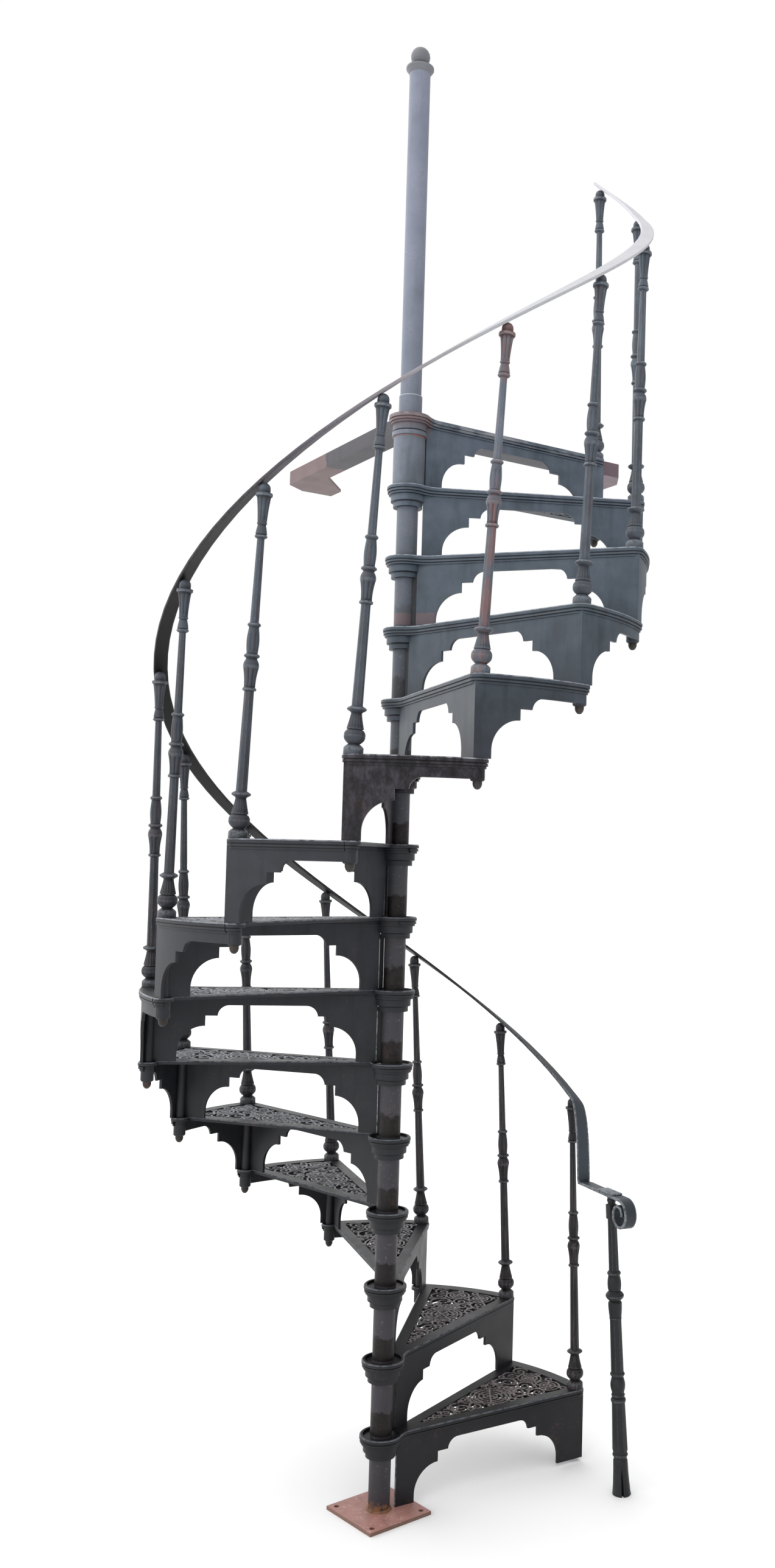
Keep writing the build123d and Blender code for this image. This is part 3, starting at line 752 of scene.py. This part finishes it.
# %% Newel post
NEWEL_FOOT_ANGLE = math.radians(-21.6)
NEWEL_FOOT = 696 * MM
NEWEL_TOP_ANGLE = math.radians(-22.7)
NEWEL_TOP = 643.5 * MM
NEWEL_HEIGHT = 845 * MM
NEWEL_BLOCK = 26.0
NEWEL_BLOCK_LOW = 782.0
NEWEL_BLOCK_HIGH = 824.0
BLOCK_CORNER = 1.6 * MM
CRACK_TURN = math.radians(-20)
CRACK_HALF = math.radians(4)
CRACK_TOP = 92.0
CRACK_OPENS = 0.5
RAGGED_BY = 0.09
RAGGED_FINENESS = 60
KINK_ANGLE = math.radians(-8.4)
KINK_RADIUS = 617 * MM
KINK_HEIGHT = 847 * MM
SEAT = 0.3 * MM
UP = Vector((0, 0, 1))
# Lighter rings: worn paint and a painted sheen.
NEWEL_WEAR_AND_SHEEN = (
    (111, 115, 0.4), (265, 269, 0.4), (280, 284, 0.3), (339, 343, 0.4), (498, 501, 0.4),
    (562, 566, 0.5), (626, 630, 0.4),
)


def polar(radius, angle, height):
    return Vector((radius * math.cos(angle), radius * math.sin(angle), height))


newel_foot = polar(NEWEL_FOOT, NEWEL_FOOT_ANGLE, 0)
newel_head = polar(NEWEL_TOP, NEWEL_TOP_ANGLE, NEWEL_HEIGHT)
rail_seat = newel_head + UP * SEAT
kink = polar(KINK_RADIUS, KINK_ANGLE, KINK_HEIGHT)
level_heading = (rail_seat - kink).normalized()
outward = Vector((level_heading.x, level_heading.y, 0)).normalized()


def newel_profile():
    # Radius and height from the floor up: the flared foot, a hollow and a ring.
    profile = [(0, 0), (27, 0)] + stretch(1, 96, 27, 20.6, -0.8, 8)
    profile += stretch(100, 107, 19.6, 19.6, -1.4, 3) + stretch(108, 118, 19.8, 19.8, 2.4, 5)
    # A core inside the first shaft, and the rings and vase above it.
    profile += [(20, 120), (20.8, 124), (21.2, 130), (18, 258), (19.5, 260)]
    profile += stretch(261, 273, 19.6, 19.6, 2.2, 5) + [(17, 275)]
    profile += stretch(277, 287, 17.2, 17.2, 2.4, 5)
    profile += stretch(289, 333, 17.4, 16.6, 4.4, 8) + stretch(336, 346, 18.4, 18.4, 3.0, 5)
    # A core inside the second shaft, and the cone, disc and vase above it.
    profile += [(16.6, 348), (15.5, 496), (17.8, 498), (17.8, 501)]
    profile += stretch(503, 544, 17.2, 19.8, 0.8, 6) + [(16.2, 549)]
    profile += stretch(552, 576, 18, 18, 8.6, 8) + [(17, 579)]
    profile += stretch(581, 621, 18.6, 16.6, 2.2, 6) + stretch(623, 633, 17.2, 17.2, 2.6, 5)
    # A core inside the third shaft and the block, and the ring that carries the rail.
    profile += [(13.5, 636), (12, 780), (12, 824), (11, 829)]
    return profile + stretch(831, 841, 11.6, 11.6, 1.8, 4) + [(13, 845), (0, 845)]


mesh = new_mesh()
turned(mesh, newel_profile())
mark_wear(mesh, NEWEL_WEAR_AND_SHEEN)
mark_grime_and_shade(mesh)
faceted(mesh, 126, 260, 22.8, 19.6)
faceted(mesh, 348, 499, 18.9, 17.2)
faceted(mesh, 636, 784, 15.2, 13.4)
block_middle = (NEWEL_BLOCK_LOW + NEWEL_BLOCK_HIGH) / 2 * MM
block_height = (NEWEL_BLOCK_HIGH - NEWEL_BLOCK_LOW) * MM
block_place = Matrix.Translation((0, 0, block_middle))
block_place @= Matrix.Diagonal((NEWEL_BLOCK * MM, NEWEL_BLOCK * MM, block_height, 1))
rounded_block(mesh, block_place, BLOCK_CORNER)
for vert in mesh.verts:
    # The flared foot is ragged, and a crack that narrows upwards opens it on the near side.
    low_share = 1 - vert.co.z / (CRACK_TOP * MM)
    if low_share > 0 and vert.co.xy.length > 1 * MM:
        turn = math.atan2(vert.co.y, vert.co.x)
        keep = 1 - RAGGED_BY * low_share * abs(noise.noise(vert.co * RAGGED_FINENESS))
        if abs(turn - CRACK_TURN) < CRACK_HALF:
            keep -= CRACK_OPENS * low_share
        bmesh.ops.scale(mesh, vec=(keep, keep, 1), verts=[vert])
lean_axis = (newel_head - newel_foot).normalized()
across_axis = lean_axis.cross(level_heading).normalized()
along_axis = across_axis.cross(lean_axis)
turn = Matrix((along_axis, across_axis, lean_axis)).transposed()
place = Matrix.Translation(newel_foot) @ turn.to_4x4()
bmesh.ops.transform(mesh, matrix=place, verts=mesh.verts[:])
level_foot(mesh)
print("faces in the newel:", len(mesh.faces))
add_piece("turned_newel_post", mesh, "newel_iron", ["newel_post"])

# %% [markdown]
# The handrail is one flat bar, bent cold over the domes. It is carried as a rounded section
# along its own line: level with each dome on the way down, then a steep drop, a kink, a
# short run over the newel, and a curl. Bending left it rolled, with its outer edge low, and
# the roll fades out down the drop. Each station is a matrix of the bar's side, its upper
# face and its heading, so the same step of extrude and move serves the whole length.

# %% Handrail
RAIL_WIDTH = 38 * MM
RAIL_THICKNESS = 8 * MM
RAIL_CORNER = 2.2 * MM
CORNER_STEPS = 3
EDGE_WEAR = 5 * MM
RAIL_WEAR = 0.7
LAP_WEAR = 0.6
HAIR = 0.1 * MM
OVERRUN = 0.06
SPANS = 6
DROP_SPANS = 16
DROP_PULL = 40 * MM
KINK_PULL = 81 * MM
KINK_RISE = Vector((0.07, 0.12, 1.0))
KINK_LEVEL = 25 * MM
VOLUTE_LEAD = 66 * MM
VOLUTE_RADIUS = 38 * MM
VOLUTE_EYE = 12 * MM
VOLUTE_TURNS = 1.25
VOLUTE_TIGHTEN = 0.8
VOLUTE_SPANS = 44
LAP_START = -48 * MM
LAP_END = 30 * MM
LAP_THICKNESS = 5 * MM
LAP_INSET = 0.4 * MM
LAP_CORNER = 1.5 * MM
ROLL = math.radians(14)
ROLL_ENDS = 6
ROLL_FADES = 12


def dome_centre(number):
    tilt = LEAN if number <= TREADS else LAST_LEAN
    reach = (DOME_HEIGHT - DOME_RADIUS) * MM
    along = math.atan2(reach * math.sin(tilt), CIRCLE)
    return (number - 1) * STEP + along, top_of(number) + reach * math.cos(tilt)


def climb(number, share):
    angle, height = dome_centre(number)
    next_angle, next_height = dome_centre(number + 1)
    slope = (next_height - height) / (next_angle - angle)
    # Both the slope and the roll lift the bar's middle line above the dome.
    lift = (DOME_RADIUS * MM + SEAT) * math.hypot(1, slope / CIRCLE) / math.cos(ROLL)
    turn = angle + share * (next_angle - angle)
    forward = Vector((-CIRCLE * math.sin(turn), CIRCLE * math.cos(turn), slope))
    return polar(CIRCLE, turn, height + lift + share * (next_height - height)), forward.normalized()


def station(centre, run, side):
    turn = Matrix((side, run.cross(side), run)).transposed()
    return Matrix.Translation(centre) @ turn.to_4x4()


def swept(mesh, section, stations, worn_beyond=math.inf):
    wear = mesh.verts.layers.float["wear"]
    made = [mesh.verts.new(stations[0] @ point) for point in section]
    for vert, point in zip(made, section):
        vert[wear] = RAIL_WEAR if abs(point.x) > worn_beyond + HAIR else 0.0
    edges = list(mesh.faces.new(made).edges)
    for before, after in zip(stations, stations[1:]):
        grown = bmesh.ops.extrude_edge_only(mesh, edges=edges)["geom"]
        fresh = [item for item in grown if isinstance(item, bmesh.types.BMVert)]
        edges = [item for item in grown if isinstance(item, bmesh.types.BMEdge)]
        edges = [edge for edge in edges if set(edge.verts) <= set(fresh)]
        bmesh.ops.transform(mesh, matrix=after @ before.inverted(), verts=fresh)
    bmesh.ops.holes_fill(mesh, edges=edges, sides=0)


def rounded_strip(width, thickness, corner):
    # Four more points stand beside the corners, so that their wear stays on the edges.
    strip = bmesh.new()
    near_edge = width / 2 - EDGE_WEAR
    lower = [(-width / 2, 0), (-near_edge, 0), (near_edge, 0), (width / 2, 0)]
    upper = [(x, thickness) for x, _ in reversed(lower)]
    made = [strip.verts.new((x, y, 0)) for x, y in lower + upper]
    strip.faces.new(made)
    corners = [vert for vert in made if abs(vert.co.x) > near_edge + HAIR]
    bmesh.ops.bevel(
        strip, geom=corners, offset=corner, segments=CORNER_STEPS, profile=0.5,
        affect="VERTICES", material=-1,
    )
    strip.faces.ensure_lookup_table()
    return [vert.co.copy() for vert in strip.faces[0].verts]


def drop_stations():
    # One cubic curve from the end of the climb to the kink.
    start, forward = climb(1, -OVERRUN)
    bend = [start, start - forward * DROP_PULL, kink + KINK_RISE.normalized() * KINK_PULL, kink]
    found = []
    for index in range(1, DROP_SPANS):
        t = index / DROP_SPANS
        weights = [(1 - t) ** 3, 3 * t * (1 - t) ** 2, 3 * t * t * (1 - t), t ** 3]
        rates = [-((1 - t) ** 2), (1 - t) ** 2 - 2 * t * (1 - t), 2 * t * (1 - t) - t * t, t * t]
        centre = sum((p * w for p, w in zip(bend, weights)), Vector())
        heading = sum((p * w for p, w in zip(bend, rates)), Vector())
        found.append((centre, heading.normalized()))
    return found


def volute_stations():
    # A level lead over the newel, and then a spiral that turns down and in.
    start = rail_seat + outward * VOLUTE_LEAD
    middle = start - UP * VOLUTE_RADIUS
    found = [(rail_seat, outward), (start, outward)]
    for index in range(1, VOLUTE_SPANS + 1):
        share = index / VOLUTE_SPANS
        tightened = (1 - share) ** VOLUTE_TIGHTEN
        radius = VOLUTE_EYE + (VOLUTE_RADIUS - VOLUTE_EYE) * tightened
        turn = 2 * math.pi * VOLUTE_TURNS * share
        centre = middle + (outward * math.sin(turn) + UP * math.cos(turn)) * radius
        found.append((centre, outward * math.cos(turn) - UP * math.sin(turn)))
    return found


route = [climb(TREADS, 1 + OVERRUN), climb(TREADS, 1)]
for number in range(TREADS, 0, -1):
    route += [climb(number, index / SPANS) for index in range(SPANS - 1, -1, -1)]
route.append(climb(1, -OVERRUN))
# The climb is followed downwards, so its headings are turned round.
route = [(centre, -forward) for centre, forward in route] + drop_stations()
route.append((kink, (route[-1][1] + level_heading).normalized()))
route.append((kink + level_heading * KINK_LEVEL, level_heading))
stations = []
for index, (centre, run) in enumerate(route):
    level = UP.cross(run).normalized()
    left = (len(route) - ROLL_ENDS - index) / ROLL_FADES
    roll = ROLL * min(1.0, max(0.0, left))
    side = level * math.cos(roll) - run.cross(level) * math.sin(roll)
    stations.append(station(centre, run, side))
stations += [station(centre, run, UP.cross(outward)) for centre, run in volute_stations()]
mesh = new_mesh()
section = rounded_strip(RAIL_WIDTH, RAIL_THICKNESS, RAIL_CORNER)
swept(mesh, section, stations, RAIL_WIDTH / 2 - EDGE_WEAR)
lap_height = RAIL_THICKNESS + LAP_THICKNESS / 2
lap_middle = rail_seat + outward * (LAP_START + LAP_END) / 2 + UP * lap_height
lap_place = station(lap_middle, outward, UP.cross(outward))
lap_size = (RAIL_WIDTH - LAP_INSET, LAP_THICKNESS, LAP_END - LAP_START, 1)
for vert in rounded_block(mesh, lap_place @ Matrix.Diagonal(lap_size), LAP_CORNER):
    vert[mesh.verts.layers.float["wear"]] = LAP_WEAR
add_piece("flat_handrail", mesh, "rail_iron", ["handrail"], crease=28)
print("stations along the rail:", len(stations))

# %% [markdown]
# The treads are pierced. The openings are in the frame, and what gives them life is the
# round crest of every bar, so a half-round bead lies on each flat bar. An arc of it is one
# spin of a small section about the arc's own centre. The lists give each centre on the first
# tread and then its radius, in millimetres. A rosette adds its spokes and their turn, a curl
# its start and hand, and a crescent its start and sweep.

# %% Scrollwork
BAR = 6.4
CREST = 2.6
SUNK = 2.8
SECTION_STEPS = 4
CHORD = math.radians(16)
ROSETTES = (
    (602, 58, (37, 24, 12), 4, 45), (588, 134, (36, 24, 12), 4, 0),
    (407, 74, (60, 48, 34, 20), 6, 0),
)
CURLS = (
    (550, 181, 25, 40, 1), (597, 196, 23, -20, 1), (546, 34, 23, 160, -1), (546, 92, 25, -60, 1),
    (505, 140, 36, 250, -1), (501, 60, 29, 150, 1), (456, 140, 20, 200, 1), (478, 103, 18, 20, 1),
    (337, 35, 23, -20, 1), (330, 81, 20, -60, -1), (285, 50, 30, 60, 1), (234, 35, 22, 90, -1),
    (196, 26, 13, 90, 1),
)
CURL_TURNS = ((1.0, 235), (0.62, 170), (0.36, 190))
LINKS = (
    (634, 97, 9), (633, 19, 9), (629, 147, 7), (606, 229, 9), (520, 186, 8), (516, 22, 8),
    (475, 22, 11), (448, 22, 11), (430, 150, 6), (380, 134, 7), (373, 17, 8), (310, 84, 7),
    (306, 22, 9), (259, 18, 7), (259, 60, 8), (214, 48, 5), (172, 20, 8), (151, 15, 5),
    (488, 72, 10), (509, 87, 9), (481, 140, 10), (467, 161, 7), (544, 62, 8), (506, 36, 7),
    (523, 121, 7), (490, 92, 6), (264, 42, 8), (471, 66, 6), (500, 100, 6), (545, 68, 3.5),
    (483, 143, 3.5), (511, 88, 3.5), (484, 69, 3.5), (440, 157, 4), (347, 94, 4),
    (478, 171, 3.5), (265, 50, 3.5),
)
CRESCENTS = (
    (407, 74, 71, -30, 62), (407, 74, 71, 152, 58), (407, 74, 50, -40, 80), (407, 74, 50, 140, 80),
)
CURL_BUTTON = BAR * 0.72
ROSETTE_BUTTON = 8
BUTTON_HIGH = CREST + 0.1
SPOKE_START = 6
WORN_ABOVE = -1.2 * MM
CREST_WEAR = 0.9


def section_points():
    points = []
    for index in range(SECTION_STEPS + 1):
        turn = math.pi * index / SECTION_STEPS
        points.append(Vector((BAR / 2 * math.cos(turn), 0, CREST * math.sin(turn) - SUNK)) * MM)
    return points


def arc_bead(mesh, x, y, radius, start, sweep):
    place = Matrix.Translation((x * MM, y * MM, 0))
    place @= Matrix.Rotation(math.radians(start), 4, "Z")
    place @= Matrix.Translation((radius * MM, 0, 0))
    made = [mesh.verts.new(place @ point) for point in section_points()]
    edges = [mesh.edges.new(pair) for pair in zip(made, made[1:] + made[:1])]
    steps = max(3, round(abs(math.radians(sweep)) / CHORD))
    bmesh.ops.spin(
        mesh, geom=made + edges, cent=(x * MM, y * MM, 0), axis=(0, 0, 1),
        angle=math.radians(sweep), steps=steps, use_merge=abs(sweep) >= 360,
    )


def spoke_bead(mesh, x, y, turn, near, far):
    place = Matrix.Translation((x * MM, y * MM, 0))
    place @= Matrix.Rotation(math.radians(turn), 4, "Z")
    quarter = Matrix.Rotation(math.radians(90), 4, "Z")
    ends = [place @ Matrix.Translation((reach * MM, 0, 0)) @ quarter for reach in (near, far)]
    swept(mesh, section_points(), ends)


def button(mesh, x, y, radius):
    place = Matrix.Translation((x * MM, y * MM, -SUNK * MM))
    place @= Matrix.Diagonal((radius, radius, BUTTON_HIGH, 1))
    bmesh.ops.create_uvsphere(mesh, u_segments=12, v_segments=6, radius=MM, matrix=place)


def scroll_mesh():
    mesh = new_mesh()
    for x, y, radius, start, hand in CURLS:
        # Each turn of a curl is a tighter arc that leaves the last one without a corner.
        last = radius
        for share, sweep in CURL_TURNS:
            x += (last - radius * share) * math.cos(math.radians(start))
            y += (last - radius * share) * math.sin(math.radians(start))
            last = radius * share
            arc_bead(mesh, x, y, last, start, hand * sweep)
            start += hand * sweep
        x += last * math.cos(math.radians(start))
        y += last * math.sin(math.radians(start))
        button(mesh, x, y, CURL_BUTTON)
    for x, y, radius in LINKS:
        arc_bead(mesh, x, y, radius, 0, 360)
    for crescent in CRESCENTS:
        arc_bead(mesh, *crescent)
    for x, y, radii, spokes, turn in ROSETTES:
        for radius in radii:
            arc_bead(mesh, x, y, radius, 0, 360)
        for spoke in range(spokes):
            spoke_bead(mesh, x, y, turn + 360 * spoke / spokes, SPOKE_START, radii[0])
        button(mesh, x, y, ROSETTE_BUTTON)
    bmesh.ops.remove_doubles(mesh, verts=mesh.verts[:], dist=0.02 * MM)
    bmesh.ops.holes_fill(mesh, edges=mesh.edges[:], sides=0)
    wear = mesh.verts.layers.float["wear"]
    for vert in mesh.verts:
        vert[wear] = CREST_WEAR if vert.co.z > WORN_ABOVE else 0.0
    return mesh


pattern = scroll_mesh()
for number in range(1, TREADS + 1):
    mesh = pattern.copy()
    place = spin_about_column((number - 1) * STEP, top_of(number))
    bmesh.ops.transform(mesh, matrix=place, verts=mesh.verts[:])
    finish = OWN_FINISHES["scrollwork"]
    add_piece(f"scrollwork_{number:02d}", mesh, "tread_iron", crease=60, finish=finish)
print("faces in one panel of scrollwork:", len(pattern.faces))

# %% [markdown]
# Each riser ends beside the tube in a thin flange, set back from its faces, and its near-black
# paint is painted shade that keeps the slot dark. Only the lowest riser and the highest stand
# clear, so light shows there. At the foot, the tube is welded to its plate, and the weld has
# rusted.

# %% Slot flanges and the foot's weld
TUBE_RADIUS = 30.15
SLOT_EDGE = 42.15
FLANGE_FACE = -16.2
FLANGE_BACK = -11.8
FLANGE_LAP = 3.0
FLANGE_TOP = 50.0
FLANGE_CLEAR = 0.5
WELD = [(30.2, 9.9), (35.5, 9.9), (34.4, 12.2), (32.4, 14.4), (30.2, 15.6)]
WELD_ROUGHNESS = 0.06
WELD_FINENESS = 90

inner = math.sqrt(TUBE_RADIUS ** 2 - FLANGE_BACK ** 2) + FLANGE_CLEAR
width = SLOT_EDGE + FLANGE_LAP - inner
high = RISE / MM - FLANGE_TOP - FLANGE_CLEAR
size = Vector((width, FLANGE_BACK - FLANGE_FACE, high)) * MM
middle = Vector((inner, FLANGE_FACE, FLANGE_CLEAR - RISE / MM)) * MM + size / 2
for number in range(2, TREADS):
    mesh = new_mesh()
    place = spin_about_column((number - 1) * STEP, top_of(number))
    place @= Matrix.Translation(middle) @ Matrix.Diagonal((*size, 1))
    bmesh.ops.create_cube(mesh, size=1, matrix=place)
    # The flange's near-black finish is painted shade.
    finish = OWN_FINISHES["slot_flange"]
    add_piece(f"slot_flange_{number:02d}", mesh, "tread_iron", finish=finish)
mesh = new_mesh()
turned(mesh, WELD + WELD[:1])
for vert in mesh.verts:
    if vert.co.z > BASE + 1 * MM:
        swell = 1 + WELD_ROUGHNESS * noise.noise(vert.co * WELD_FINENESS)
        bmesh.ops.scale(mesh, vec=(swell, swell, 1), verts=[vert])
add_piece("foot_weld", mesh, "primed_steel", finish=OWN_FINISHES["foot_weld"])
print("flanges in the slots:", TREADS - 2, "each", round(high), "mm high")

# %% [markdown]
# The floor is a plain pale sheet under a bright overcast sky. The sky is brighter on the left
# than on the right, so a face turned left is clearly lighter than one turned right. One world
# shader gives both: its strength follows the direction, and the camera alone sees plain white.

# %% Floor and light
FLOOR_SIZE = 400.0
FLOOR_DULL = 0.9
SKY_RIGHT = 0.4
SKY_LEFT = 1.9
SKY_ABOVE = 0.6
FULL_RIGHT = -0.8
FULL_LEFT = 0.9
floor_mesh = bmesh.new()
bmesh.ops.create_grid(floor_mesh, x_segments=1, y_segments=1, size=FLOOR_SIZE / 2)
floor_data = bpy.data.meshes.new("floor")
floor_mesh.to_mesh(floor_data)
floor_mesh.free()
floor = bpy.data.objects.new("floor", floor_data)
bpy.context.scene.collection.objects.link(floor)
pale = bpy.data.materials.new("pale_floor")
pale.use_nodes = True
shader = pale.node_tree.nodes["Principled BSDF"]
shader.inputs["Base Color"].default_value = linear("#f0f0f0")
shader.inputs["Roughness"].default_value = FLOOR_DULL
floor_data.materials.append(pale)

bpy.context.scene.view_settings.view_transform = "Standard"
world = bpy.data.worlds.new("overcast sky")
bpy.context.scene.world = world
world.use_nodes = True
sky = world.node_tree
direction = add(sky, "ShaderNodeTexCoord").outputs["Generated"]
toward_left = {0: direction, 1: -ACROSS}
leftward = add(sky, "ShaderNodeVectorMath", toward_left, operation="DOT_PRODUCT").outputs["Value"]
span = {
    "Value": leftward, "From Min": FULL_RIGHT, "From Max": FULL_LEFT,
    "To Min": SKY_RIGHT, "To Max": SKY_LEFT,
}
side_light = add(sky, "ShaderNodeMapRange", span, interpolation_type="SMOOTHSTEP").outputs[0]
overhead = calc(sky, "MAXIMUM", z_of(sky, direction), 0.0)
strength = calc(sky, "MULTIPLY_ADD", overhead, SKY_ABOVE, side_light)
seen = add(sky, "ShaderNodeLightPath").outputs["Is Camera Ray"]
shown = add(sky, "ShaderNodeMix", {0: seen, 2: strength, 3: 1.0}, data_type="FLOAT").outputs[0]
background = sky.nodes["Background"]
sky.links.new(shown, background.inputs["Strength"])
background.inputs["Color"].default_value = linear("#ffffff")
print("sky from", SKY_RIGHT, "on the right to", SKY_LEFT, "on the left")
